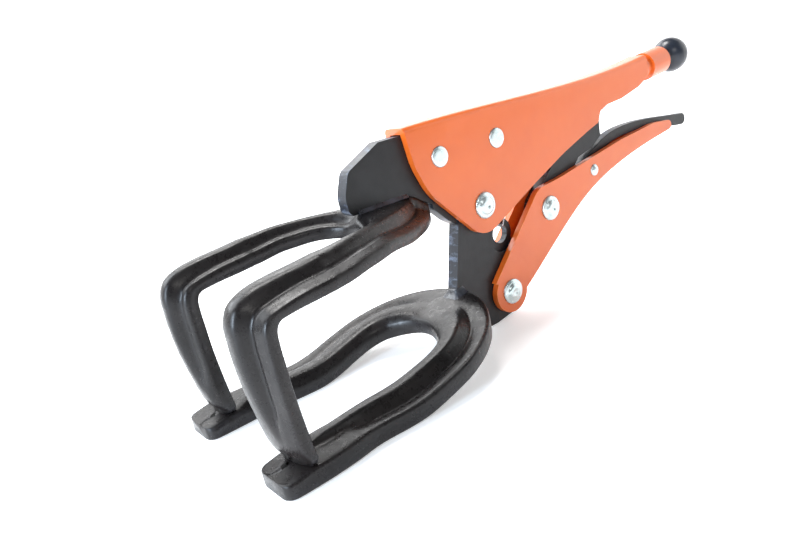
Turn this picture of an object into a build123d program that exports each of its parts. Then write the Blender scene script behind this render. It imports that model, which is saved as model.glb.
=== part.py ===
from build123d import *
import math
import os

# Locking C-clamp pliers with two forked jaws, standing on the flat lower fork.
# +X runs from the fork tips to the adjusting knob, +Z is up, Y = 0 is the mirror plane.
# Outlines are drawn with X = 0 at the front of the lower fork and Z = 0 on the floor.
os.makedirs("parts", exist_ok=True)

# ---- overall sizes, millimetres -------------------------------------------------------
KNOB_CENTRE = (294.2, 95.0)
KNOB_RADIUS = 9.1
OVERALL_LENGTH = KNOB_CENTRE[0] + KNOB_RADIUS
JAW_PLATE = 6.0            # thickness of both jaw plates and of the toggle link
CHANNEL_GAP = 6.6          # clear width inside the folded channels
CHANNEL_WIDTH = 12.6       # outside width of the folded channels
TOP_WALL = 2.5             # folded web of the channels, measured along Z
RUNNING_FIT = 0.05         # radial clearance where something turns on a rivet
GAP = 0.3                  # clearance between pieces that pass each other

# ---- pivot centres (X, Z) -------------------------------------------------------------
FRONT_RIVET = (113.7, 82.0)
REAR_RIVET = (146.8, 82.2)
JAW_PIVOT = (133.8, 55.8)
LINK_PIVOT = (174.5, 42.7)
HANDLE_PIVOT = (141.8, 12.9)
RELEASE_PIVOT = (209.9, 51.9)
LINK_NOSE = (221.5, 88.0)
LINK_NOSE_RADIUS = 3.4
SPRING_EYE = (144.3, 39.3)
SPRING_EYE_RADIUS = 4.4
SPRING_ANCHOR = (158.0, 70.0)
ANCHOR_RADIUS = 2.0
HOOK_TAB = 3.0             # plate thickness left round the two spring holes

# ---- rivets: shank radius, head radius, head height ------------------------------------
FLAT_RIVET = (3.0, 4.35, 0.9)
PIVOT_RIVET = (4.0, 5.8, 2.9)
SMALL_RIVET = (2.0, 2.9, 1.3)

# ---- forks ----------------------------------------------------------------------------
TINE_OUTER = 41.2          # half width over the tines
TINE_INNER = 20.6          # half width between the tines
FORK_WALL = 7.0            # thickness of the lower fork
BEND_START = 56.0          # where the lower fork leaves the floor
BEND_SLOPE = 0.25          # rise per millimetre behind that
LOWER_BEND_CENTRE = 75.8   # centre of the round rear end of the lower fork
UPPER_FOOT = FORK_WALL + GAP
UPPER_FORK_END = 108.0     # rear tip of the upper fork
UPPER_REAR_MARGIN = 3.0    # how far its side view is drawn past that tip
UPPER_WEB_TOP = 70.0       # where the fixed jaw plate stands on the upper fork
UPPER_WEB_REAR = 96.0      # behind this the top of the upper fork falls away
UPPER_TAIL = 63.8          # its height at the rear tip
LOWER_SEAT_FRONT = 111.8   # front edge of the moving jaw plate on the lower fork

# ---- adjusting screw ------------------------------------------------------------------
SCREW_RADIUS = 4.0
SCREW_SLOPE = 5.0          # degrees, rising to the rear
SCREW_TIP = LINK_NOSE[0] + LINK_NOSE_RADIUS + 2.4
COLLAR_FRONT = 268.0
COLLAR_REAR = 283.0
WASHER_RADIUS = 5.6
WASHER_THICKNESS = 1.2


def side_solid(face, width, y_mid=0.0):
    """A face drawn as (X, Z), thickened equally to both sides of y_mid."""
    return Pos(0, y_mid, 0) * extrude(Plane.XZ * face, amount=width / 2, both=True)


def plan_solid(face, low, high):
    """A face drawn as (X, Y), standing from height low to height high."""
    return extrude(Pos(0, 0, low) * face, amount=high - low)


def polygon(points):
    return make_face(Polyline(*points, close=True))


def disc(centre, radius):
    return Pos(*centre) * Circle(radius)


def round_corners(face, corners):
    """Round the corners nearest to the given points, each (x, y, radius)."""
    for x, y, radius in corners:
        nearest = face.vertices().sort_by_distance((x, y, 0))[0]
        face = fillet(nearest, radius)
    return face


def cross_pin(centre, radius, width):
    """A round bar across the tool at a pivot centre."""
    return side_solid(disc(centre, radius), width)


def screw_point(x):
    """The point of the screw axis at this X."""
    run = x - KNOB_CENTRE[0]
    return Vector(x, 0, KNOB_CENTRE[1] + run * math.tan(math.radians(SCREW_SLOPE)))


def on_screw_axis(x_from, x_to, radius):
    """A cylinder along the screw axis between two X stations."""
    start = screw_point(x_from)
    end = screw_point(x_to)
    plane = Plane(origin=start, z_dir=end - start)
    return extrude(plane * Circle(radius), amount=(end - start).length)


def export_node(name, solid):
    solid = Pos(-OVERALL_LENGTH / 2, 0, 0) * solid
    export_step(solid, f"parts/{name}.step")


# ---- forks ----------------------------------------------------------------------------
def stadium(half_width, front=-30.0):
    """Region between two straight tines closed by a half circle at the rear."""
    length = LOWER_BEND_CENTRE - front
    bar = Pos(front + length / 2, 0) * Rectangle(length, 2 * half_width)
    return bar + Pos(LOWER_BEND_CENTRE, 0) * Circle(half_width)


def lower_fork_profile(top=FORK_WALL, low=0.0, front=0.0):
    """Side view of the lower fork: flat on the floor, then rising to the rear."""
    rear = LOWER_BEND_CENTRE + TINE_OUTER + 1.0
    rise = (rear - BEND_START) * BEND_SLOPE
    points = [(front, low), (BEND_START, low), (rear, low + rise)]
    points += [(rear, top + rise), (BEND_START, top), (front, top)]
    bend = 30.0
    return round_corners(polygon(points), [(BEND_START, low, bend), (BEND_START, top, bend)])


def lower_fork_layer(outer, inner, top, low, front):
    """The part of the bent plate between two half widths and two heights."""
    plan = stadium(outer) - stadium(inner)
    tall = 60.0
    side = lower_fork_profile(top, low, front)
    return plan_solid(plan, -1.0, tall) & side_solid(side, 2 * TINE_OUTER + 2)


def make_lower_fork():
    """Forged plate with a tall ridge on its inner half and a groove outside it."""
    ridge_front = 18.0
    groove_front = 33.0
    ridge_height = 2.6
    ridge_outer = 31.0
    ridge_inner = 22.4
    groove_outer = 34.4
    groove_depth = 2.0
    fork = lower_fork_layer(TINE_OUTER, TINE_INNER, FORK_WALL, 0.0, 0.0)
    crest = FORK_WALL + ridge_height
    ridge = lower_fork_layer(ridge_outer, ridge_inner, crest, 1.0, ridge_front)
    groove_floor = FORK_WALL - groove_depth
    groove = lower_fork_layer(groove_outer, ridge_outer, 20.0, groove_floor, groove_front)
    nose_height = 5.4
    nose_length = 12.0
    above = 20.0
    nose = polygon([(-1, nose_height), (2, nose_height), (nose_length, FORK_WALL),
                    (nose_length, above), (-1, above)])
    return fork + ridge - groove - side_solid(nose, 2 * TINE_OUTER + 2)


def arch(shoulder, tip, half_width, shoulder_radius, tip_radius, inset):
    """Straight arms closing to a rounded point, grown or shrunk by an inset."""
    front = -30.0
    lean = math.atan2(half_width, tip - shoulder)
    half_width = half_width - inset
    tip = tip - inset / math.sin(lean)
    shoulder = tip - half_width / math.tan(lean)
    points = [(front, -half_width), (shoulder, -half_width), (tip, 0)]
    points += [(shoulder, half_width), (front, half_width)]
    corners = [(shoulder, -half_width, shoulder_radius - inset)]
    corners += [(shoulder, half_width, shoulder_radius - inset), (tip, 0, tip_radius - inset)]
    return round_corners(polygon(points), corners)


def upper_fork_plan(outer_inset, inner_inset):
    """The U of the upper fork seen from above, narrowed from outside and from inside."""
    outer = arch(53.0, 111.5, TINE_OUTER, 45.0, 19.0, outer_inset)
    inner = arch(50.0, 74.0, TINE_INNER, 16.0, 11.0, -inner_inset)
    return outer - inner


def upper_fork_profile(sunk, front_low, front_high, arm_front, arm_rear, tail, radius):
    """Side view of one forged layer: leg down to the foot and arm to the rear."""
    back_low = 13.6 - sunk
    back_high = 11.0 - sunk
    elbow = 56.6 + sunk
    under_arm = 61.0 + sunk
    under_rear = 57.8 + sunk
    knee = 44.0
    rear = UPPER_FORK_END + UPPER_REAR_MARGIN
    points = [(back_low, UPPER_FOOT), (back_high, elbow), (61, under_arm), (rear, under_rear)]
    points += [(rear, tail), (UPPER_WEB_REAR, arm_rear), (52, arm_rear)]
    points += [(front_high, arm_front), (front_high, knee), (front_low, UPPER_FOOT)]
    corners = [(back_high, elbow, 5.0), (front_high, arm_front, radius)]
    return round_corners(polygon(points), corners)


def make_upper_fork():
    """Forged U with its arms bent down into legs: flat edges and a tall middle ridge."""
    fall = (UPPER_WEB_TOP - UPPER_TAIL) / (UPPER_FORK_END - UPPER_WEB_REAR)
    rear_top = UPPER_TAIL - UPPER_REAR_MARGIN * fall
    layers = [
        # insets outside and inside, then how far the layer's back is sunk in the one below,
        # leg front at the foot and above, arm top in front and behind, tail, elbow radius
        (0.0, 0.0, 0.0, 9.0, 6.7, 60.2, 64.6, 60.2, 6.0),
        (5.6, 1.6, 1.0, 8.6, 5.0, 61.4, 65.8, 60.9, 8.0),
        (7.4, 2.7, 1.4, 8.0, 2.2, 63.8, 68.4, 61.6, 10.0),
        (8.8, 4.0, 1.8, 7.4, 0.2, 65.2, UPPER_WEB_TOP, rear_top, 12.0),
    ]
    tall = 100.0
    fork = None
    for outer_inset, inner_inset, *shape in layers:
        side = upper_fork_profile(*shape)
        layer = plan_solid(upper_fork_plan(outer_inset, inner_inset), 0, tall)
        layer = layer & side_solid(side, 2 * TINE_OUTER + 2)
        fork = layer if fork is None else fork + layer
    return fork


# ---- jaw plates -----------------------------------------------------------------------
def relieve(plate, centre, radius):
    """Thin the plate round a spring hole so that the spring's end loop fits over it."""
    depth = (JAW_PLATE - HOOK_TAB) / 2
    for side in (-1, 1):
        middle = side * (HOOK_TAB + depth + 1) / 2
        plate = plate - side_solid(disc(centre, radius), depth + 1, middle)
    return plate


def make_fixed_jaw_plate():
    """Plate held between the channel walls, standing on the rear of the upper fork."""
    top = 94.1
    rear = 164.0
    behind_fork = UPPER_FORK_END + 0.1
    nose = (67.6, 77.5)
    toe = (68.0, 71.6)
    brow = (71.2, 86.4)
    points = [(87.4, top), brow, nose, toe, (69.6, UPPER_WEB_TOP)]
    points += [(UPPER_WEB_REAR, UPPER_WEB_TOP), (behind_fork, UPPER_TAIL), (behind_fork, 61.5)]
    points += [(115, 54.4), (118.4, 51.9), (121, 60), (147, 62), (rear, 69), (rear, 80)]
    points += [(157, top - 2.4), (140, top - 0.8), (100, top)]
    face = round_corners(polygon(points), [(*toe, 2.0), (*nose, 10.0), (*brow, 4.0)])
    jaw_clearance = 12.6
    face = face - disc(JAW_PIVOT, jaw_clearance)
    face = face - disc(FRONT_RIVET, FLAT_RIVET[0]) - disc(REAR_RIVET, FLAT_RIVET[0])
    face = face - disc(SPRING_ANCHOR, ANCHOR_RADIUS)
    hook_room = 6.6
    return relieve(side_solid(face, JAW_PLATE), SPRING_ANCHOR, hook_room)


def lower_seat(x):
    """Height of the top of the lower fork behind its bend."""
    return FORK_WALL + (x - BEND_START) * BEND_SLOPE


def make_moving_jaw_plate():
    """Plate from the jaw pivot down to the handle pivot, notched over the lower fork."""
    boss = 11.4
    eye_wall = 2.8
    fork_end = LOWER_BEND_CENTRE + TINE_OUTER + 0.05
    notch_low = lower_seat(fork_end) - FORK_WALL - 1.0
    points = [(LOWER_SEAT_FRONT, lower_seat(LOWER_SEAT_FRONT)), (fork_end, lower_seat(fork_end))]
    points += [(fork_end, notch_low), (128.8, 0.2), (133, 0.2), (142, 1.5), (153.2, 12.9)]
    points += [(150.8, 36), (142, 47.5), JAW_PIVOT, (122.4, 55.8), (119.8, 51)]
    face = polygon(points) + disc(JAW_PIVOT, boss) + disc(HANDLE_PIVOT, boss)
    face = face + disc(SPRING_EYE, SPRING_EYE_RADIUS + eye_wall)
    face = face - disc(SPRING_EYE, SPRING_EYE_RADIUS)
    for pivot in (JAW_PIVOT, HANDLE_PIVOT):
        face = face - disc(pivot, PIVOT_RIVET[0] + RUNNING_FIT)
    hook_room = 8.2
    return relieve(side_solid(face, JAW_PLATE), SPRING_EYE, hook_room)


def make_upper_weld(side):
    """Fillet of weld along one side of the fixed jaw plate."""
    bead = 1.4
    start = 72.0
    end = UPPER_WEB_REAR
    wall = side * JAW_PLATE / 2
    section = polygon([(0, 0), (side * bead, 0), (0, bead)])
    plane = Plane(origin=(start, wall, UPPER_WEB_TOP), x_dir=(0, 1, 0), z_dir=(1, 0, 0))
    return extrude(plane * section, amount=end - start)


def make_lower_weld():
    """Flared collar of weld round the foot of the moving jaw plate."""
    rear = 117.0
    flare = 2.6
    height = 3.0
    slope = math.degrees(math.atan(BEND_SLOPE))
    origin = (LOWER_SEAT_FRONT, 0, lower_seat(LOWER_SEAT_FRONT))
    plane = Plane(origin=origin).rotated((0, -slope, 0))
    length = rear - LOWER_SEAT_FRONT
    foot = Rectangle(length + flare, JAW_PLATE + 2 * flare)
    neck = Rectangle(length + 0.2, JAW_PLATE + 0.4)
    foot = Pos((length - flare) / 2, 0) * foot
    neck = Pos(length / 2, 0, height) * neck
    return loft([plane * foot, plane * neck]) - make_moving_jaw_plate()


# ---- orange channels ------------------------------------------------------------------
def body_top(drop=0.0):
    """Top edge of the body from rear to front, optionally lowered."""
    points = [(262.5, 99.3), (222, 96.3), (185, 96.0), (140, 96.9), (98, 97.0)]
    return Spline(*[(x, z - drop) for x, z in points])


def body_face():
    """Side view of the upper body with its boss round the jaw pivot."""
    front = [(98, 97.0), (100.2, 81), (105.2, 68.4), (124.7, 48.0)]
    under = [(138.0, 44.6), (166.7, 56.7), (189, 65.4), (209, 71.6), (217.5, 73.8)]
    neck = [(219.8, 78.8), (226, 80.9), (238, 81.6), (253, 84.6), (262.5, 88.4), (262.5, 99.3)]
    face = make_face(Curve() + [Polyline(*front, *under, *neck), body_top()])
    face = face + disc(JAW_PIVOT, 12.0)
    corners = [(100.2, 81, 30.0), (105.2, 68.4, 30.0), (166.7, 56.7, 90.0), (189, 65.4, 90.0)]
    corners += [(209, 71.6, 30.0), (217.5, 73.8, 2.5), (219.8, 78.8, 2.0), (226, 80.9, 8.0)]
    return round_corners(face, corners)


def make_upper_body():
    """Folded channel, closed round the adjusting screw at its rear."""
    solid_neck_front = 236.0
    neck_rear = 256.0
    neck_radius = 5.7
    collar_radius = 7.1
    fold_radius = 2.4
    body = side_solid(body_face(), CHANNEL_WIDTH)
    roof = body.edges().filter_by(lambda e: e.center().Z > 92 and e.length > 100)
    body = fillet(roof, fold_radius)
    # channel inside
    ceiling = body_top(TOP_WALL)
    start = ceiling @ 1
    rear = ceiling @ 0
    ahead = 70.0
    below = 20.0
    open_side = [(start.X, start.Y), (ahead, start.Y), (ahead, below), (rear.X, below), (rear.X, rear.Y)]
    inside = make_face(Curve() + [ceiling, Polyline(*open_side)])
    reach = 200.0
    inside = inside & (Pos(solid_neck_front - reach / 2, below) * Rectangle(reach, reach))
    body = body - side_solid(inside, CHANNEL_GAP)
    # round neck and collar formed round the screw
    body = body + on_screw_axis(neck_rear, COLLAR_FRONT + 1, neck_radius)
    body = body + on_screw_axis(COLLAR_FRONT, COLLAR_REAR, collar_radius)
    body = body - on_screw_axis(SCREW_TIP, COLLAR_REAR + 2, SCREW_RADIUS + RUNNING_FIT)
    # the two folded edges stop short of each other under the neck
    seam_width = 1.2
    seam_front = 225.0
    seam_rear = 262.0
    seam_height = 82.0
    seam = Rectangle(seam_rear - seam_front, 14)
    seam = Pos((seam_front + seam_rear) / 2, seam_height) * seam
    body = body - side_solid(seam, seam_width)
    rivets = [(FRONT_RIVET, FLAT_RIVET), (REAR_RIVET, FLAT_RIVET), (JAW_PIVOT, PIVOT_RIVET)]
    for pivot, (shank, *_) in rivets:
        body = body - cross_pin(pivot, shank, 2 * CHANNEL_WIDTH)
    return body


HANDLE_FRONT = (150.4, 10.6)
HANDLE_REAR = (277.0, 57.3)


def handle_under(lift=0.0):
    """Lower edge of the handle from front to rear, optionally raised."""
    points = [HANDLE_FRONT, (164.6, 19.4), (181.8, 30.4), (206.9, 43.6), (229.8, 50.4), (252, 54.4)]
    points += [HANDLE_REAR]
    return Spline(*[(x, z + lift) for x, z in points])


def make_lower_handle():
    """Folded channel open towards the body, pivoted on the moving jaw plate."""
    boss = 9.8
    lip = (281.2, 58.6)
    crown = (278.5, 62.2)
    shoulder = (168.2, 53.6)
    upper = [lip, crown, (264, 63.6), (232.7, 61.4), (183.7, 54.8), shoulder, (132.6, 19.6)]
    outline = Curve() + [handle_under(), Polyline(HANDLE_REAR, *upper, HANDLE_FRONT)]
    face = make_face(outline) + disc(HANDLE_PIVOT, boss)
    corners = [(*shoulder, 10.0), (183.7, 54.8, 40.0), (232.7, 61.4, 40.0), (264, 63.6, 40.0)]
    corners += [(*crown, 3.0), (*lip, 2.0)]
    handle = side_solid(round_corners(face, corners), CHANNEL_WIDTH)
    # channel inside, open at the rear and above, and clear of the jaw plate in front
    above = 90.0
    open_end = 262.0
    front_x, front_z = HANDLE_FRONT
    rear_x, rear_z = HANDLE_REAR
    open_side = [(rear_x, rear_z + TOP_WALL), (rear_x, above), (front_x, above)]
    open_side += [(front_x, front_z + TOP_WALL)]
    inside = make_face(Curve() + [handle_under(TOP_WALL), Polyline(*open_side)])
    inside = inside + Pos(open_end + 20, 60) * Rectangle(40, 40)
    open_front = 151.0
    inside = inside + Pos(open_front - 20, 50) * Rectangle(40, 80)
    jaw_sweep = 19.6
    inside = inside + disc(HANDLE_PIVOT, jaw_sweep)
    handle = handle - side_solid(inside, CHANNEL_GAP)
    rivets = [(LINK_PIVOT, PIVOT_RIVET), (HANDLE_PIVOT, PIVOT_RIVET), (RELEASE_PIVOT, SMALL_RIVET)]
    for pivot, (shank, *_) in rivets:
        handle = handle - cross_pin(pivot, shank, 2 * CHANNEL_WIDTH)
    return handle


# ---- toggle link and release lever ----------------------------------------------------
def make_toggle_link():
    """Plate strut from the handle to the tip of the adjusting screw."""
    boss = 8.0
    points = [(177.5, 35.3), (203.0, 59.9), (214.0, 62.2), (222.0, 66.4), (222.4, 82)]
    points += [(224.9, 88.0), (221.5, 91.4), (218.0, 90.2), (168.2, 47.8)]
    face = polygon(points) + disc(LINK_PIVOT, boss) + disc(LINK_NOSE, LINK_NOSE_RADIUS)
    face = face - disc(LINK_PIVOT, PIVOT_RIVET[0] + RUNNING_FIT)
    return side_solid(face, JAW_PLATE)


def make_release_lever():
    """Curved strip that pushes the toggle link off its lock."""
    boss = 3.8
    width = 5.0
    front = (198.5, 54.4)
    root = (214, 52.8)
    tip_top = (296.2, 62.3)
    tip_low = (296.2, 56.2)
    upper = Spline(front, (214, 60.4), (228, 65.4), (246, 67.2), (272, 65.3), tip_top)
    tip = ThreePointArc(tip_top, (299.9, 58.9), tip_low)
    lower = Spline(tip_low, (286, 57.4), (268, 61.0), (246, 62.4), (228, 60.4), root)
    close = Polyline(root, (203, 50.4), front)
    face = make_face(Curve() + [upper, tip, lower, close]) + disc(RELEASE_PIVOT, boss)
    face = face - disc(RELEASE_PIVOT, SMALL_RIVET[0] + RUNNING_FIT)
    return side_solid(face, width)


# ---- adjusting screw ------------------------------------------------------------------
def make_adjusting_screw():
    return on_screw_axis(SCREW_TIP, KNOB_CENTRE[0], SCREW_RADIUS)


def make_knob_washer():
    front = COLLAR_REAR + GAP
    rear = front + WASHER_THICKNESS
    ring = on_screw_axis(front, rear, WASHER_RADIUS)
    return ring - on_screw_axis(front - 1, rear + 1, SCREW_RADIUS + RUNNING_FIT)


def make_ball_knob():
    """Ball with a short neck towards the body, pressed on the screw."""
    front = COLLAR_REAR + WASHER_THICKNESS + 2 * GAP
    neck_radius = 5.0
    ball = Pos(KNOB_CENTRE[0], 0, KNOB_CENTRE[1]) * Sphere(KNOB_RADIUS)
    ball = ball + on_screw_axis(front, KNOB_CENTRE[0], neck_radius)
    return ball - on_screw_axis(front - 1, KNOB_CENTRE[0], SCREW_RADIUS)


# ---- spring ---------------------------------------------------------------------------
def end_loop(origin, along, near, far, wire):
    """Closed loop of wire through a hole and round the plate's edge."""
    half_width = HOOK_TAB / 2 + 0.2 + wire
    middle = origin + along * (near + far) / 2
    plane = Plane(origin=middle, x_dir=along, z_dir=along.cross(Vector(0, 1, 0)))
    track = plane * RectangleRounded(far - near, 2 * half_width, 1.0)
    path = track.wire()
    return sweep(Plane(origin=path @ 0, z_dir=path % 0) * Circle(wire), path=path)


def make_jaw_spring():
    """Tension spring between the moving jaw and the fixed jaw plate."""
    wire = 0.6
    mean_radius = 2.4
    turns = 9
    eye = Vector(SPRING_EYE[0], 0, SPRING_EYE[1])
    anchor = Vector(SPRING_ANCHOR[0], 0, SPRING_ANCHOR[1])
    along = (anchor - eye).normalized()
    eye_far = 8.4
    anchor_far = 6.2
    coil_start = eye + along * (eye_far + 0.3)
    coil_end = anchor - along * (anchor_far + 0.3)
    length = (coil_end - coil_start).length
    plane = Plane(origin=coil_start, x_dir=(0, 1, 0), z_dir=along)
    helix = plane * Helix(pitch=length / turns, height=length, radius=mean_radius)
    coil = sweep(Plane(origin=helix @ 0, z_dir=helix % 0) * Circle(wire), path=helix)
    coil = coil + end_loop(eye, along, SPRING_EYE_RADIUS - 1.0, eye_far, wire)
    coil = coil + end_loop(anchor, along * -1, ANCHOR_RADIUS - 1.0, anchor_far, wire)
    # short bars joining the coil's ends to the loops
    for end, sign in ((coil_start, 1), (coil_end, -1)):
        bar = Plane(origin=end - along * 0.5, z_dir=(0, 1, 0))
        coil = coil + extrude(bar * Circle(wire), amount=mean_radius + 0.1)
    return coil


# ---- rivets ---------------------------------------------------------------------------
def make_rivet(pivot, sizes, domed):
    """Shank across the channel with a head on each outer face."""
    shank, head, height = sizes
    outer = CHANNEL_WIDTH / 2
    rivet = cross_pin(pivot, shank, CHANNEL_WIDTH)
    for side in (-1, 1):
        disk = Pos(0, side * (outer + height / 2), 0) * cross_pin(pivot, head, height)
        rim = disk.faces().sort_by(Axis.Y)[-1 if side > 0 else 0].edges()
        disk = fillet(rim, height * 0.6) if domed else chamfer(rim, height * 0.35)
        rivet = rivet + disk
    return rivet


def main():
    export_node("upper_body", make_upper_body())
    export_node("fixed_jaw_plate", make_fixed_jaw_plate())
    export_node("upper_fork", make_upper_fork())
    export_node("upper_weld_near", make_upper_weld(-1))
    export_node("upper_weld_far", make_upper_weld(1))
    export_node("moving_jaw_plate", make_moving_jaw_plate())
    export_node("lower_fork", make_lower_fork())
    export_node("lower_weld", make_lower_weld())
    export_node("lower_handle", make_lower_handle())
    export_node("toggle_link", make_toggle_link())
    export_node("release_lever", make_release_lever())
    export_node("adjusting_screw", make_adjusting_screw())
    export_node("knob_washer", make_knob_washer())
    export_node("ball_knob", make_ball_knob())
    export_node("jaw_spring", make_jaw_spring())
    export_node("fixed_jaw_front_rivet", make_rivet(FRONT_RIVET, FLAT_RIVET, False))
    export_node("fixed_jaw_rear_rivet", make_rivet(REAR_RIVET, FLAT_RIVET, False))
    export_node("jaw_pivot_rivet", make_rivet(JAW_PIVOT, PIVOT_RIVET, True))
    export_node("link_pivot_rivet", make_rivet(LINK_PIVOT, PIVOT_RIVET, True))
    export_node("handle_pivot_rivet", make_rivet(HANDLE_PIVOT, PIVOT_RIVET, True))
    export_node("release_lever_rivet", make_rivet(RELEASE_PIVOT, SMALL_RIVET, True))


main()
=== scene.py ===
import math

import bmesh
import bpy
from mathutils import Matrix, Vector


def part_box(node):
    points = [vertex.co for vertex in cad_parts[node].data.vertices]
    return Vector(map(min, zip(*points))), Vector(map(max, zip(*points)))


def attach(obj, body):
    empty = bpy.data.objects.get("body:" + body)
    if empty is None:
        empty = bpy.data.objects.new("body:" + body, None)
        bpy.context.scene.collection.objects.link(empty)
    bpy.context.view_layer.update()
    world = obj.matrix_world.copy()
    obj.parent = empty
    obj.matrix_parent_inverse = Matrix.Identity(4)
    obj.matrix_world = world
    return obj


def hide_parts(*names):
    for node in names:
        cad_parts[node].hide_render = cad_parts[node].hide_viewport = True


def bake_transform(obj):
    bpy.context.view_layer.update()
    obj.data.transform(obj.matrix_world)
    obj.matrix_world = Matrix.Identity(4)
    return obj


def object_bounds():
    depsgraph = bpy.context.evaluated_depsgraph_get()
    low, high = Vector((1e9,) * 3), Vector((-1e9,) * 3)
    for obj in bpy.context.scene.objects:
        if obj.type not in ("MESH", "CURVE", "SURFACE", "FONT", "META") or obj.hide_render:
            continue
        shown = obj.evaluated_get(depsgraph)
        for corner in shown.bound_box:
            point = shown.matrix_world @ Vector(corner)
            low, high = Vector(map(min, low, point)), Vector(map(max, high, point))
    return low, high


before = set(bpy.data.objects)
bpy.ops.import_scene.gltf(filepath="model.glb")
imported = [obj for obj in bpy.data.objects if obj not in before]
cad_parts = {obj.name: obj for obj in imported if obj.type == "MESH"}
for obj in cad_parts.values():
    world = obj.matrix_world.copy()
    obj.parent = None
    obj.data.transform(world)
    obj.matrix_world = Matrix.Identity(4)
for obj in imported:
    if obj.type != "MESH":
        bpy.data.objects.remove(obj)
cad_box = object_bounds()

# Shapes are drawn in millimetres in the tool's own side view: X runs to the knob, Z is up,
# and Y = 0 is the mirror plane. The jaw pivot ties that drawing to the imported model.
JAW_PIVOT = (133.8, 0.0, 55.8)
REAR_RIVET = (146.8, 0.0, 82.2)
FRONT_RIVET = (113.7, 0.0, 82.0)
LINK_PIVOT = (174.5, 0.0, 42.7)
HANDLE_PIVOT = (141.8, 0.0, 12.9)
RELEASE_PIVOT = (209.9, 0.0, 51.9)
KNOB_CENTRE = (294.2, 0.0, 95.0)
KNOB_RADIUS = 9.1
SCREW_SLOPE = math.radians(5.0)
CHANNEL_HALF = 6.3
UPPER_FOOT = 7.3


def pivot_in_frame():
    low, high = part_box("jaw_pivot_rivet")
    return (low + high) / 2


PIVOT = pivot_in_frame()


def at(x, y, z):
    """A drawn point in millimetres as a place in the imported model, in metres."""
    return PIVOT + (Vector((x, y, z)) - Vector(JAW_PIVOT)) / 1000


# ---- curves through named points ----------------------------------------------------------
def smooth(points, share):
    """The point at a share from 0 to 1 along a smooth curve through the points."""
    spans = len(points) - 1
    place = min(max(share, 0.0), 1.0) * spans
    i = min(int(place), spans - 1)
    t = place - i
    before = points[max(i - 1, 0)]
    here = points[i]
    there = points[i + 1]
    after = points[min(i + 2, spans)]
    made = []
    for a, b, c, d in zip(before, here, there, after):
        bend = (2 * a - 5 * b + 4 * c - d) * t * t + (3 * b - a - 3 * c + d) * t ** 3
        made.append(b + 0.5 * ((c - a) * t + bend))
    return made


def level(points, x):
    """The height at x of a line through (x, z) points sorted by x."""
    if x <= points[0][0]:
        return points[0][1]
    for (xa, za), (xb, zb) in zip(points, points[1:]):
        if x <= xb:
            t = (x - xa) / (xb - xa)
            t = t * t * (3 - 2 * t)
            return za + (zb - za) * t
    return points[-1][1]


def blend(a, b, share):
    return a + (b - a) * share


def fade(x, start, end):
    """0 before start, 1 after end and smooth between, in either direction."""
    t = min(max((x - start) / (end - start), 0.0), 1.0)
    return t * t * (3 - 2 * t)


# ---- meshes -------------------------------------------------------------------------------
def piece(name, points, faces, material, body, nodes):
    """A smooth mesh that rides on a body and stands for CAD nodes."""
    mesh = bpy.data.meshes.new(name)
    mesh.from_pydata([tuple(p) for p in points], [], faces)
    mesh.validate()
    tidy = bmesh.new()
    tidy.from_mesh(mesh)
    bmesh.ops.remove_doubles(tidy, verts=tidy.verts, dist=1e-6)
    bmesh.ops.recalc_face_normals(tidy, faces=tidy.faces)
    tidy.to_mesh(mesh)
    tidy.free()
    mesh.shade_smooth()
    mesh.materials.append(material)
    obj = bpy.data.objects.new(name, mesh)
    bpy.context.scene.collection.objects.link(obj)
    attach(obj, body)
    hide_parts(*nodes)
    return obj


def loft(rings, closed_ends=True):
    """Points and faces of a skin over closed rings with equal counts."""
    count = len(rings[0])
    points = [p for ring in rings for p in ring]
    faces = []
    for i in range(len(rings) - 1):
        for j in range(count):
            k = (j + 1) % count
            faces.append((i * count + j, i * count + k, (i + 1) * count + k, (i + 1) * count + j))
    if closed_ends:
        last = (len(rings) - 1) * count
        faces.append(tuple(reversed(range(count))))
        faces.append(tuple(last + j for j in range(count)))
    return points, faces


def mirrored(rings):
    """The rings of one tine, continued round to its mirror image."""
    other = [[(x, -y, z) for x, y, z in ring] for ring in rings]
    return rings + other[-2::-1]


def fork_piece(name, rings, material, body, node):
    rings = mirrored(rings)
    placed = [[at(*p) for p in ring] for ring in rings]
    points, faces = loft(placed)
    return piece(name, points, faces, material, body, [node])


# ---- materials ----------------------------------------------------------------------------
def new_material(name):
    material = bpy.data.materials.new(name)
    material.use_nodes = True
    nodes = material.node_tree.nodes
    shader = nodes["Principled BSDF"]
    return material, nodes, material.node_tree.links, shader


def noise(nodes, links, scale, detail=4.0, roughness=0.55, stretch=None):
    """Noise in object space; scale is in features per metre."""
    place = nodes.new("ShaderNodeTexCoord")
    texture = nodes.new("ShaderNodeTexNoise")
    texture.inputs["Scale"].default_value = scale
    texture.inputs["Detail"].default_value = detail
    texture.inputs["Roughness"].default_value = roughness
    if stretch:
        mapping = nodes.new("ShaderNodeMapping")
        mapping.inputs["Scale"].default_value = stretch
        links.new(place.outputs["Object"], mapping.inputs["Vector"])
        links.new(mapping.outputs["Vector"], texture.inputs["Vector"])
    else:
        links.new(place.outputs["Object"], texture.inputs["Vector"])
    return texture.outputs["Fac"]


def ramp(nodes, links, value, stops):
    """A colour ramp; stops are (position, colour)."""
    made = nodes.new("ShaderNodeValToRGB")
    elements = made.color_ramp.elements
    while len(elements) < len(stops):
        elements.new(0.5)
    for element, (position, colour) in zip(elements, stops):
        element.position = position
        element.color = (*colour, 1.0)
    links.new(value, made.inputs["Fac"])
    return made.outputs["Color"]


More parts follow.
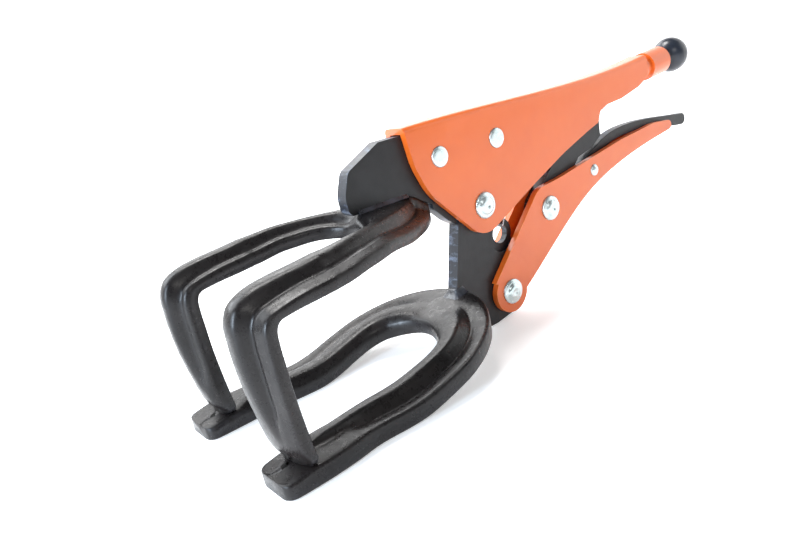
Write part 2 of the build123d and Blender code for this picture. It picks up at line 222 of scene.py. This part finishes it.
def between(nodes, links, value, low, high):
    """A number that follows value from low to high."""
    made = nodes.new("ShaderNodeMapRange")
    made.inputs["From Min"].default_value = 0.3
    made.inputs["From Max"].default_value = 0.7
    made.inputs["To Min"].default_value = low
    made.inputs["To Max"].default_value = high
    links.new(value, made.inputs["Value"])
    return made.outputs["Result"]


def mix(nodes, links, factor, first, second):
    made = nodes.new("ShaderNodeMix")
    made.data_type = "RGBA"
    links.new(factor, made.inputs["Factor"])
    for socket, source in ((made.inputs["A"], first), (made.inputs["B"], second)):
        if isinstance(source, tuple):
            socket.default_value = (*source, 1.0)
        else:
            links.new(source, socket)
    return made.outputs["Result"]


def bump(nodes, links, shader, layers):
    """Stack bump layers, each (height, strength, distance in metres)."""
    last = None
    for height, strength, distance in layers:
        made = nodes.new("ShaderNodeBump")
        made.inputs["Strength"].default_value = strength
        made.inputs["Distance"].default_value = distance
        links.new(height, made.inputs["Height"])
        if last:
            links.new(last, made.inputs["Normal"])
        last = made.outputs["Normal"]
    links.new(last, shader.inputs["Normal"])


def worn_edges(nodes, links, amount=0.54):
    """1 on convex edges, broken up by noise."""
    geometry = nodes.new("ShaderNodeNewGeometry")
    rub = nodes.new("ShaderNodeMapRange")
    rub.inputs["From Min"].default_value = amount
    rub.inputs["From Max"].default_value = amount + 0.08
    links.new(geometry.outputs["Pointiness"], rub.inputs["Value"])
    patches = nodes.new("ShaderNodeMath")
    patches.operation = "MULTIPLY"
    links.new(rub.outputs["Result"], patches.inputs[0])
    links.new(between(nodes, links, noise(nodes, links, 450.0), 0.0, 1.0), patches.inputs[1])
    return patches.outputs["Value"]


def cut_edge(nodes, links):
    """1 on faces across the sheet, 0 on the flat faces of a plate."""
    geometry = nodes.new("ShaderNodeNewGeometry")
    parts = nodes.new("ShaderNodeSeparateXYZ")
    links.new(geometry.outputs["Normal"], parts.inputs["Vector"])
    size = nodes.new("ShaderNodeMath")
    size.operation = "ABSOLUTE"
    links.new(parts.outputs["Y"], size.inputs[0])
    made = nodes.new("ShaderNodeMapRange")
    made.inputs["From Min"].default_value = 0.75
    made.inputs["From Max"].default_value = 0.45
    links.new(size.outputs["Value"], made.inputs["Value"])
    return made.outputs["Result"]


def orange_paint(name, wear_and_highlight):
    """Enamel; the last argument sets how far noisy patches mix toward a lighter yellow-orange: a
    small amount is rubbed wear, a large amount is a painted edge highlight with some wear.
    """
    material, nodes, links, shader = new_material(name)
    cloud = noise(nodes, links, 22.0)
    colour = ramp(nodes, links, cloud, [(0.3, (0.63, 0.105, 0.009)), (0.7, (0.69, 0.12, 0.012))])
    # patches mixed toward a lighter yellow-orange: rubbed wear, and on the edge material a painted
    # edge highlight
    wear_and_highlight_mask = between(nodes, links, noise(nodes, links, 90.0, 6.0), 0.0, wear_and_highlight)
    links.new(mix(nodes, links, wear_and_highlight_mask, colour, (0.95, 0.42, 0.08)), shader.inputs["Base Color"])
    fine = noise(nodes, links, 900.0, 2.0)
    peel = noise(nodes, links, 160.0, 1.0)
    links.new(between(nodes, links, cloud, 0.3, 0.38), shader.inputs["Roughness"])
    shader.inputs["Coat Weight"].default_value = 0.4
    shader.inputs["Coat Roughness"].default_value = 0.12
    bump(nodes, links, shader, [(peel, 0.25, 0.0002), (fine, 0.12, 0.00005)])
    return material


def forged_black():
    material, nodes, links, shader = new_material("forged_black")
    cloud = noise(nodes, links, 45.0)
    rust = noise(nodes, links, 28.0, 6.0)
    base = ramp(nodes, links, cloud, [(0.3, (0.006, 0.005, 0.005)), (0.7, (0.014, 0.012, 0.012))])
    tint = ramp(nodes, links, rust, [(0.55, (0.0, 0.0, 0.0)), (0.8, (0.15, 0.15, 0.15))])
    tinted = mix(nodes, links, tint, base, (0.035, 0.014, 0.01))
    edges = worn_edges(nodes, links, 0.54)
    links.new(mix(nodes, links, edges, tinted, (0.07, 0.07, 0.08)), shader.inputs["Base Color"])
    grain = noise(nodes, links, 1400.0, 3.0)
    pits = noise(nodes, links, 330.0, 6.0, 0.7)
    waves = noise(nodes, links, 70.0, 2.0)
    shader.inputs["Metallic"].default_value = 0.0
    shader.inputs["IOR"].default_value = 1.4
    shader.inputs["Specular IOR Level"].default_value = 0.4
    links.new(between(nodes, links, pits, 0.2, 0.42), shader.inputs["Roughness"])
    layers = [(waves, 0.35, 0.0012), (pits, 0.3, 0.00035), (grain, 0.15, 0.00008)]
    bump(nodes, links, shader, layers)
    return material


def plate_black():
    material, nodes, links, shader = new_material("plate_black")
    cloud = noise(nodes, links, 60.0)
    face = ramp(nodes, links, cloud, [(0.3, (0.005, 0.005, 0.006)), (0.7, (0.012, 0.012, 0.014))])
    streak = noise(nodes, links, 260.0, 5.0, 0.7, (1.0, 0.4, 1.0))
    sheared = ramp(nodes, links, streak, [(0.5, (0.008, 0.01, 0.016)), (0.7, (0.11, 0.14, 0.2))])
    side = cut_edge(nodes, links)
    links.new(mix(nodes, links, side, face, sheared), shader.inputs["Base Color"])
    grain = noise(nodes, links, 2200.0, 3.0)
    shader.inputs["IOR"].default_value = 1.42
    links.new(between(nodes, links, streak, 0.3, 0.48), shader.inputs["Roughness"])
    bump(nodes, links, shader, [(streak, 0.25, 0.0003), (grain, 0.3, 0.0001)])
    return material


def weld_black():
    material, nodes, links, shader = new_material("weld_black")
    cloud = noise(nodes, links, 200.0)
    colour = ramp(nodes, links, cloud, [(0.35, (0.008, 0.008, 0.01)), (0.7, (0.05, 0.055, 0.07))])
    links.new(colour, shader.inputs["Base Color"])
    links.new(between(nodes, links, cloud, 0.22, 0.4), shader.inputs["Roughness"])
    shader.inputs["IOR"].default_value = 1.55
    bump(nodes, links, shader, [(noise(nodes, links, 380.0, 5.0), 0.5, 0.0006)])
    return material


def bright_zinc():
    material, nodes, links, shader = new_material("rivet_zinc")
    cloud = noise(nodes, links, 260.0)
    colour = ramp(nodes, links, cloud, [(0.3, (0.5, 0.6, 0.61)), (0.7, (0.64, 0.71, 0.71))])
    links.new(colour, shader.inputs["Base Color"])
    shader.inputs["Metallic"].default_value = 0.85
    links.new(between(nodes, links, cloud, 0.2, 0.34), shader.inputs["Roughness"])
    fine = noise(nodes, links, 1500.0)
    bump(nodes, links, shader, [(cloud, 0.06, 0.0001), (fine, 0.1, 0.00003)])
    return material


def spring_wire():
    material, nodes, links, shader = new_material("spring_steel")
    cloud = noise(nodes, links, 500.0)
    colour = ramp(nodes, links, cloud, [(0.3, (0.3, 0.3, 0.31)), (0.7, (0.55, 0.55, 0.57))])
    links.new(colour, shader.inputs["Base Color"])
    shader.inputs["Metallic"].default_value = 1.0
    links.new(between(nodes, links, cloud, 0.22, 0.35), shader.inputs["Roughness"])
    return material


def knob_plastic():
    material, nodes, links, shader = new_material("knob_black")
    cloud = noise(nodes, links, 120.0)
    colour = ramp(nodes, links, cloud, [(0.3, (0.008, 0.011, 0.018)), (0.7, (0.016, 0.02, 0.03))])
    links.new(colour, shader.inputs["Base Color"])
    links.new(between(nodes, links, cloud, 0.25, 0.36), shader.inputs["Roughness"])
    bump(nodes, links, shader, [(noise(nodes, links, 1800.0), 0.2, 0.00006)])
    return material


def pale_floor():
    material, nodes, links, shader = new_material("pale_floor")
    cloud = noise(nodes, links, 4.0)
    colour = ramp(nodes, links, cloud, [(0.3, (0.93, 0.94, 0.95)), (0.7, (0.95, 0.955, 0.96))])
    links.new(colour, shader.inputs["Base Color"])
    shader.inputs["Roughness"].default_value = 0.6
    shader.inputs["Emission Color"].default_value = (1.0, 1.0, 1.0, 1.0)
    shader.inputs["Emission Strength"].default_value = 0.35
    return material


def white_backdrop():
    material, nodes, links, shader = new_material("white_backdrop")
    shader.inputs["Base Color"].default_value = (0.9, 0.9, 0.9, 1.0)
    shader.inputs["Emission Color"].default_value = (1.0, 1.0, 1.0, 1.0)
    shader.inputs["Emission Strength"].default_value = 1.0
    return material


ORANGE = orange_paint("orange_paint", 0.03)
# the rounded edge strips of the channels: a painted yellow-orange highlight with some wear
ORANGE_EDGE_HIGHLIGHT = orange_paint("orange_edge_highlight", 0.7)
FORGED = forged_black()
PLATE = plate_black()
WELD = weld_black()
ZINC = bright_zinc()
SPRING = spring_wire()
KNOB = knob_plastic()


# ---- upper fork ---------------------------------------------------------------------------
# one tine from its foot to the elbow: (back x, back z, crest x, crest z)
LEG = [
    (13.6, 7.3, 7.8, 7.3),
    (12.9, 14.0, 5.0, 14.0),
    (12.0, 24.0, 2.9, 24.0),
    (11.3, 34.0, 1.2, 34.0),
    (11.1, 43.0, 0.3, 43.8),
    (11.0, 50.0, 0.2, 52.0),
    (11.4, 54.2, 0.7, 58.0),
    (13.2, 56.6, 3.6, 63.2),
    (17.4, 57.4, 9.8, 66.2),
    (22.8, 57.9, 18.0, 67.6),
    (29.0, 58.3, 27.8, 68.4),
    (36.0, 58.9, 36.0, 69.3),
]
UPPER_OUTER = [
    (36.0, -41.0), (46.0, -39.6), (57.0, -36.4), (68.0, -31.9), (79.0, -26.2),
    (88.5, -20.2), (97.0, -12.9), (104.0, -5.6), (107.8, 0.0),
]
UPPER_INNER = [
    (36.0, -20.8), (43.0, -21.0), (50.0, -20.3), (57.0, -18.4), (63.0, -15.2),
    (67.4, -11.3), (70.0, -7.0), (71.0, -3.0), (71.2, 0.0),
]
UPPER_UNDER = [(36.0, 58.9), (52.0, 60.4), (62.0, 60.8), (80.0, 59.0), (108.0, 58.0)]
UPPER_CREST = [(36.0, 69.3), (52.0, 70.2), (94.0, 70.1), (108.0, 64.8)]
PLATE_SEAT = [(96.0, 70.3), (108.0, 64.2)]
UPPER_SIDE_SHARE = 0.65    # section points with a larger flange share lie on the upper side
# across the tine from the outer edge: side, millimetres in from that side, share of the
# flange's height, share of the ridge above it, and share of the whole where no groove is formed
SECTION = [
    ("outer", 0.0, 0.08, 0.0, 0.06),
    ("outer", 0.0, 0.6, 0.0, 0.4),
    ("outer", 0.15, 0.7, 0.0, 0.45),
    ("outer", 0.7, 0.78, 0.0, 0.52),
    ("outer", 2.0, 0.86, 0.0, 0.62),
    ("outer", 3.9, 0.99, 0.0, 0.73),
    ("outer", 4.8, 1.05, 0.0, 0.78),
    ("outer", 5.7, 1.02, 0.0, 0.82),
    ("outer", 6.4, 0.99, 0.02, 0.85),
    ("outer", 7.0, 1.0, 0.24, 0.88),
    ("outer", 7.8, 1.0, 0.56, 0.91),
    ("outer", 8.7, 1.0, 0.8, 0.94),
    ("outer", 9.9, 1.0, 0.92, 0.96),
    ("middle", 0.35, 1.0, 0.98, 0.99),
    ("middle", 0.65, 1.0, 1.0, 1.0),
    ("inner", 5.6, 1.0, 0.95, 1.0),
    ("inner", 4.6, 1.0, 0.8, 0.98),
    ("inner", 3.5, 1.0, 0.4, 0.95),
    ("inner", 2.7, 1.0, 0.06, 0.92),
    ("inner", 2.0, 1.03, 0.0, 0.86),
    ("inner", 1.1, 0.98, 0.0, 0.76),
    ("inner", 0.35, 0.88, 0.0, 0.64),
    ("inner", 0.0, 0.74, 0.0, 0.54),
    ("inner", 0.0, 0.08, 0.0, 0.06),
    ("inner", 0.5, 0.0, 0.0, 0.0),
    ("outer", 0.5, 0.0, 0.0, 0.0),
]
TINE_WIDTH = 20.6
FLANGE = 5.5


def across(side, distance, width):
    """Where a section point lies across the tine, from 0 outside to 1 inside."""
    if side == "outer":
        return distance / width
    if side == "inner":
        return 1 - distance / width
    outer = 9.9 / width
    inner = 1 - 5.6 / width
    return blend(outer, inner, distance)


def section_height(flange, ridge, plain, crest, depth):
    """Height over the underside; depth is how far the grooves are formed, 0 to 1."""
    formed = FLANGE * flange + (crest - FLANGE) * ridge
    return blend(crest * plain, formed, depth)


def leg_ring(share):
    back_x, back_z, crest_x, crest_z = smooth(LEG, share)
    back = Vector((back_x, back_z))
    rise = Vector((crest_x, crest_z)) - back
    depth = fade(back_z, 16.0, 30.0)
    ring = []
    for side, distance, *shares in SECTION:
        u = across(side, distance, TINE_WIDTH)
        height = section_height(*shares, rise.length, depth)
        point = back + rise.normalized() * height
        ring.append((point.x, blend(-41.2, -20.6, u), point.y))
    return ring


def arm_ring(share):
    outer = smooth(UPPER_OUTER, share)
    inner = smooth(UPPER_INNER, share)
    width = math.dist(outer, inner)
    depth = 1 - fade(share, 0.72, 1.0)
    ring = []
    for side, distance, *shares in SECTION:
        u = across(side, distance, width)
        x = blend(outer[0], inner[0], u)
        y = blend(outer[1], inner[1], u)
        under = level(UPPER_UNDER, x)
        crest = level(UPPER_CREST, x) - under
        z = under + section_height(*shares, crest, depth)
        if shares[0] > UPPER_SIDE_SHARE and x > PLATE_SEAT[0][0]:
            under_plate = 1 - fade(abs(y), 3.2, 7.5)
            z = blend(z, max(z, level(PLATE_SEAT, x)), under_plate)
        ring.append((x, y, z))
    return ring


def foot_rings():
    """The foot narrows to a blunt chamfer where it meets the lower fork."""
    full = [(x, y, 9.6) for x, y, z in leg_ring(0.02)]
    middle = Vector((10.4, -30.9))
    small = []
    for x, y, z in leg_ring(0.0):
        point = middle + (Vector((x, y)) - middle) * 0.88
        small.append((point.x, point.y, UPPER_FOOT))
    return [small, full]


def make_upper_fork():
    rings = foot_rings()
    rings += [leg_ring(i / 66) for i in range(4, 66)]
    rings += [arm_ring(i / 56) for i in range(0, 57)]
    fork_piece("upper_fork_forging", rings, FORGED, "upper_body", "upper_fork")


# ---- lower fork ---------------------------------------------------------------------------
LOWER_OUTER = [
    (0.0, -37.0), (0.5, -38.9), (2.0, -40.6), (5.0, -41.2), (16.0, -41.2), (27.0, -40.4),
    (38.0, -38.9), (49.0, -39.4), (61.0, -40.7), (72.0, -41.1), (83.0, -40.4), (93.0, -37.3),
    (102.0, -31.8), (109.0, -24.4), (113.8, -16.0), (116.3, -8.0), (116.9, 0.0),
]
LOWER_INNER = [
    (0.0, -24.8), (0.5, -22.9), (2.0, -21.2), (5.0, -20.6), (16.0, -20.6), (27.0, -21.0),
    (38.0, -19.6), (49.0, -18.8), (60.0, -19.6), (70.0, -20.4), (78.0, -20.2), (84.5, -17.9),
    (88.9, -13.4), (91.8, -9.0), (93.4, -5.4), (94.1, -2.6), (94.3, 0.0),
]
LOWER_SLOPE = 0.25
BEND_START = 56.0
LOWER_THICK = 7.0
# across the tine from the outer edge: (side, millimetres in, height share, groove depth)
LOWER_SECTION = [
    ("outer", 0.0, 0.1, 0.0),
    ("outer", 0.0, 0.86, 0.0),
    ("outer", 0.2, 0.94, 0.0),
    ("outer", 0.7, 0.99, 0.0),
    ("outer", 2.2, 1.0, 0.2),
    ("outer", 4.4, 1.0, 0.6),
    ("outer", 6.4, 1.0, 1.2),
    ("outer", 7.6, 1.0, 1.9),
    ("outer", 8.3, 1.0, 2.2),
    ("outer", 9.0, 1.0, 1.6),
    ("outer", 10.4, 1.0, -0.4),
    ("outer", 12.0, 1.0, -1.9),
    ("middle", 0.4, 1.0, -2.5),
    ("middle", 0.7, 1.0, -2.6),
    ("inner", 3.4, 1.0, -2.3),
    ("inner", 2.2, 1.0, -1.6),
    ("inner", 1.2, 0.98, -0.7),
    ("inner", 0.5, 0.95, 0.1),
    ("inner", 0.0, 0.88, 0.5),
    ("inner", 0.0, 0.1, 0.0),
    ("inner", 0.6, 0.0, 0.0),
    ("outer", 0.6, 0.0, 0.0),
]


def floor_rise(x):
    """Height of the underside: flat in front, rising behind a soft bend."""
    run = x - BEND_START
    softness = 8.0
    if run < -softness:
        return 0.0
    if run < softness:
        return LOWER_SLOPE * (run + softness) ** 2 / (4 * softness)
    return LOWER_SLOPE * run


def lower_ring(share):
    outer = smooth(LOWER_OUTER, share)
    inner = smooth(LOWER_INNER, share)
    width = math.dist(outer, inner)
    middle_x = (outer[0] + inner[0]) / 2
    closing = 1 - fade(share, 0.72, 0.94)
    crest = fade(middle_x, 9.0, 24.0) * closing
    dip = fade(middle_x, 29.0, 42.0) * closing
    thick = LOWER_THICK - 1.6 * (1 - fade(middle_x, 0.0, 14.0))
    ring = []
    for side, distance, height, groove in LOWER_SECTION:
        u = across(side, distance, width)
        x = blend(outer[0], inner[0], u)
        y = blend(outer[1], inner[1], u)
        formed = groove * (dip if groove > 0 else crest)
        ring.append((x, y, floor_rise(x) + thick * height - formed))
    return ring


def make_lower_fork():
    count = 110
    rings = [lower_ring(i / count) for i in range(count + 1)]
    fork_piece("lower_fork_forging", rings, FORGED, "moving_jaw", "lower_fork")


def rounded_square(turn, half_length, half_width):
    """The point at an angle round a square outline with soft corners."""
    c = math.cos(turn)
    s = math.sin(turn)
    x = math.copysign(math.sqrt(abs(c)), c) * half_length
    y = math.copysign(math.sqrt(abs(s)), s) * half_width
    return x, y


def make_lower_weld():
    """Flared, slightly lumpy collar round the foot of the moving jaw plate."""
    front = 111.8
    rear = 116.6
    plate_half = 3.0
    height = 3.2
    sunk = 0.3
    middle = (front + rear) / 2
    steps = 8
    around = 56
    rings = []
    for i in range(steps + 1):
        rise = i / steps
        ring = []
        for j in range(around):
            turn = math.tau * j / around
            lump = 1 + 0.1 * math.sin(5 * turn + 1.0) + 0.06 * math.sin(11 * turn)
            flare = 0.15 + 2.6 * lump * (1 - rise) ** 2.2
            dx, y = rounded_square(turn, rear - middle + flare, plate_half + flare)
            x = min(middle + dx, rear)
            z = LOWER_THICK + (x - BEND_START) * LOWER_SLOPE + height * rise - sunk
            ring.append(at(x, y, z))
        rings.append(ring)
    points, faces = loft(rings)
    piece("lower_weld_bead", points, faces, WELD, "moving_jaw", ["lower_weld"])


# ---- sheet-metal pieces taken from the CAD, with softened edges ------------------------------
FLAT_DEGREES = 0.6         # faces that turn less than this are one flat face
SHARP_DEGREES = 22.0       # edges that turn more than this are shaded as sharp
BEVEL_DEGREES = 50.0       # edges that turn more than this are rounded
# on the orange channels this slot holds the painted yellow-orange edge highlight, with some wear
ROUNDED_EDGE_SLOT = 1              # material slot of the rounded edges
SHEET_EDGE = 0.45          # millimetres rounded off the folded channels
PLATE_EDGE = 0.35          # millimetres rounded off the blanked plates


def soften(node, name, body, material, edge_material, width):
    """A copy of a CAD node whose sharp edges are rounded, by a width in mm, and given the edge
    material; on the orange channels that is a painted highlight with some wear.
    """
    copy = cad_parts[node].data.copy()
    tidy = bmesh.new()
    tidy.from_mesh(copy)
    bmesh.ops.remove_doubles(tidy, verts=tidy.verts, dist=1e-6)
    flat = math.radians(FLAT_DEGREES)
    bmesh.ops.dissolve_limit(tidy, angle_limit=flat, verts=tidy.verts, edges=tidy.edges)
    tidy.to_mesh(copy)
    tidy.free()
    copy.materials.clear()
    copy.materials.append(material)
    copy.materials.append(edge_material)
    copy.shade_smooth()
    copy.set_sharp_from_angle(angle=math.radians(SHARP_DEGREES))
    obj = bpy.data.objects.new(name, copy)
    bpy.context.scene.collection.objects.link(obj)
    edge = obj.modifiers.new("edge", "BEVEL")
    edge.width = width / 1000
    edge.segments = 3
    edge.material = ROUNDED_EDGE_SLOT
    edge.limit_method = "ANGLE"
    edge.angle_limit = math.radians(BEVEL_DEGREES)
    edge.use_clamp_overlap = True
    edge.harden_normals = True
    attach(obj, body)
    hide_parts(node)
    return obj


# ---- turned pieces ------------------------------------------------------------------------
def lathe(profile, origin, axis, steps=64):
    """Turn (radius, distance along the axis) points about an axis at origin, in mm."""
    axis = Vector(axis).normalized()
    across_axis = axis.orthogonal().normalized()
    rings = []
    for radius, along in profile:
        ring = []
        for i in range(steps):
            turn = Matrix.Rotation(math.tau * i / steps, 3, axis)
            spoke = turn @ across_axis * max(radius, 0.01)
            ring.append(at(*(Vector(origin) + axis * along + spoke)))
        rings.append(ring)
    return loft(rings)


def both_ends(profile):
    """A profile from one outer end to the middle, repeated mirrored to the other end."""
    return [(r, -h) for r, h in profile] + [(r, h) for r, h in reversed(profile)]


DOMED = [
    (0.0, 1.75), (0.5, 1.78), (0.9, 1.95), (1.3, 2.16), (1.9, 2.22), (2.7, 2.12), (3.4, 1.85),
    (3.8, 1.5), (3.95, 1.3), (4.3, 1.22), (5.0, 1.1), (5.5, 0.85), (5.75, 0.5), (5.8, 0.0),
]
FLAT = [(0.0, 0.86), (1.6, 0.88), (3.2, 0.84), (3.9, 0.7), (4.25, 0.42), (4.35, 0.0)]
SMALL = [(0.0, 1.28), (0.8, 1.24), (1.6, 1.05), (2.3, 0.7), (2.75, 0.3), (2.9, 0.0)]


def make_rivet(node, pivot, head, shank, body):
    profile = [(r, h + CHANNEL_HALF) for r, h in head] + [(shank, CHANNEL_HALF)]
    points, faces = lathe(both_ends(profile), pivot, (0, 1, 0))
    piece(node + "_head", points, faces, ZINC, body, [node])


def make_rivets():
    make_rivet("fixed_jaw_front_rivet", FRONT_RIVET, FLAT, 3.0, "upper_body")
    make_rivet("fixed_jaw_rear_rivet", REAR_RIVET, FLAT, 3.0, "upper_body")
    make_rivet("jaw_pivot_rivet", JAW_PIVOT, DOMED, 4.0, "upper_body")
    make_rivet("link_pivot_rivet", LINK_PIVOT, DOMED, 4.0, "lower_handle")
    make_rivet("handle_pivot_rivet", HANDLE_PIVOT, DOMED, 4.0, "lower_handle")
    make_rivet("release_lever_rivet", RELEASE_PIVOT, SMALL, 2.0, "lower_handle")


def make_ball():
    """Moulded ball with a short neck and a fine parting line."""
    radius = KNOB_RADIUS
    profile = [(0.0, -9.3), (4.6, -9.3), (4.95, -9.0), (5.0, -8.0)]
    for degrees in range(-56, 90, 4):
        angle = math.radians(degrees)
        sunk = 0.06 if abs(degrees) <= 2 else 0.0
        profile.append(((radius - sunk) * math.cos(angle), radius * math.sin(angle)))
    profile.append((0.0, radius))
    axis = (math.cos(SCREW_SLOPE), 0, math.sin(SCREW_SLOPE))
    points, faces = lathe(profile, KNOB_CENTRE, axis)
    piece("ball_knob_moulding", points, faces, KNOB, "adjusting_screw", ["ball_knob"])


def make_spring():
    """The real spring stretches between the moving jaw and the body as the jaw opens; this copy of
    the CAD spring gets the spring material and stays fixed in place.
    """
    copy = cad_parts["jaw_spring"].data.copy()
    copy.materials.clear()
    copy.materials.append(SPRING)
    obj = bpy.data.objects.new("spring_coil", copy)
    bpy.context.scene.collection.objects.link(obj)
    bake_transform(obj)
    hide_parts("jaw_spring")


# ---- what the camera sees --------------------------------------------------------------------
def repaint(node, material):
    """A CAD node keeps its shape and gets the finished material."""
    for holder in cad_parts[node].material_slots:
        holder.material = material


def stage_piece(name, points, faces, material):
    mesh = bpy.data.meshes.new(name)
    mesh.from_pydata(points, [], faces)
    mesh.materials.append(material)
    obj = bpy.data.objects.new(name, mesh)
    bpy.context.scene.collection.objects.link(obj)


def make_floor():
    """A pale floor and a plain white backdrop round the far side of it."""
    half = 4.0
    low = cad_box[0][2]
    corners = [(-half, -half, low), (half, -half, low), (half, half, low), (-half, half, low)]
    stage_piece("floor", corners, [(0, 1, 2, 3)], pale_floor())
    radius = 3.6
    height = 3.0
    steps = 48
    points = []
    for i in range(steps + 1):
        turn = math.radians(-50 + 210 * i / steps)
        x = radius * math.cos(turn)
        y = radius * math.sin(turn)
        points += [(x, y, low), (x, y, height)]
    faces = [(2 * i, 2 * i + 2, 2 * i + 3, 2 * i + 1) for i in range(steps)]
    stage_piece("backdrop", points, faces, white_backdrop())


def soft_light(name, place, target, size, power, colour):
    data = bpy.data.lights.new(name, "AREA")
    data.shape = "RECTANGLE"
    data.size = size[0]
    data.size_y = size[1]
    data.energy = power
    data.color = colour
    lamp = bpy.data.objects.new(name, data)
    lamp.location = place
    lamp.rotation_euler = (Vector(target) - Vector(place)).to_track_quat("-Z", "Y").to_euler()
    bpy.context.scene.collection.objects.link(lamp)


def make_light():
    middle = at(150, 0, 50)
    soft_light("overhead", (0.05, 0.35, 1.2), middle, (0.5, 0.4), 13.0, (1.0, 0.99, 0.98))
    soft_light("rear_softbox", (0.3, 0.95, 0.85), middle, (0.9, 0.35), 6.0, (1.0, 1.0, 1.0))
    soft_light("cool_side", (-1.1, -0.1, 0.35), middle, (0.35, 0.5), 16.0, (0.72, 0.85, 1.0))
    soft_light("floor_glow", (-0.5, 0.5, 0.6), (-0.25, 0.15, 0), (0.6, 0.6), 9.0, (0.9, 0.95, 1.0))
    soft_light("front_key", (-0.5, -1.5, 1.0), middle, (0.6, 0.5), 4.5, (1.0, 0.98, 0.95))
    world = bpy.data.worlds.new("studio")
    world.use_nodes = True
    sky = world.node_tree.nodes["Background"]
    sky.inputs["Color"].default_value = (0.97, 0.985, 1.0, 1.0)
    sky.inputs["Strength"].default_value = 0.22
    bpy.context.scene.world = world
    bpy.context.scene.view_settings.view_transform = "Standard"


def make_camera():
    """A short lens close to the fork tips, looking down and along the tool."""
    heading = math.radians(55.06)
    pitch = math.radians(-16.526)
    roll = math.radians(-11.905)
    turn = Matrix.Rotation(heading - math.pi / 2, 4, "Z")
    tilt = Matrix.Rotation(math.pi / 2 + pitch, 4, "X")
    lean = Matrix.Rotation(roll, 4, "Z")
    data = bpy.data.cameras.new("camera")
    data.lens = 31.08
    data.sensor_width = 36.0
    data.clip_start = 0.01
    camera = bpy.data.objects.new("camera", data)
    camera.matrix_world = Matrix.Translation(at(-66.817, -221.135, 122.844)) @ turn @ tilt @ lean
    bpy.context.scene.collection.objects.link(camera)
    bpy.context.scene.camera = camera


def make_object():
    make_upper_fork()
    make_lower_fork()
    make_lower_weld()
    make_rivets()
    make_ball()
    make_spring()
    channels = [
        ("upper_body", "upper_channel", "upper_body"),
        ("lower_handle", "lever_channel", "lower_handle"),
    ]
    for node, name, body in channels:
        # the channels' rounded edges take the painted edge highlight
        soften(node, name, body, ORANGE, ORANGE_EDGE_HIGHLIGHT, SHEET_EDGE)
    plates = [
        ("fixed_jaw_plate", "fixed_plate", "upper_body"),
        ("moving_jaw_plate", "moving_plate", "moving_jaw"),
        ("toggle_link", "link_plate", "toggle_link"),
        ("release_lever", "release_strip", "release_lever"),
    ]
    for node, name, body in plates:
        soften(node, name, body, PLATE, PLATE, PLATE_EDGE)
    repaint("upper_weld_near", WELD)
    repaint("upper_weld_far", WELD)
    repaint("adjusting_screw", ZINC)
    repaint("knob_washer", ZINC)


make_object()
make_floor()
make_light()
make_camera()
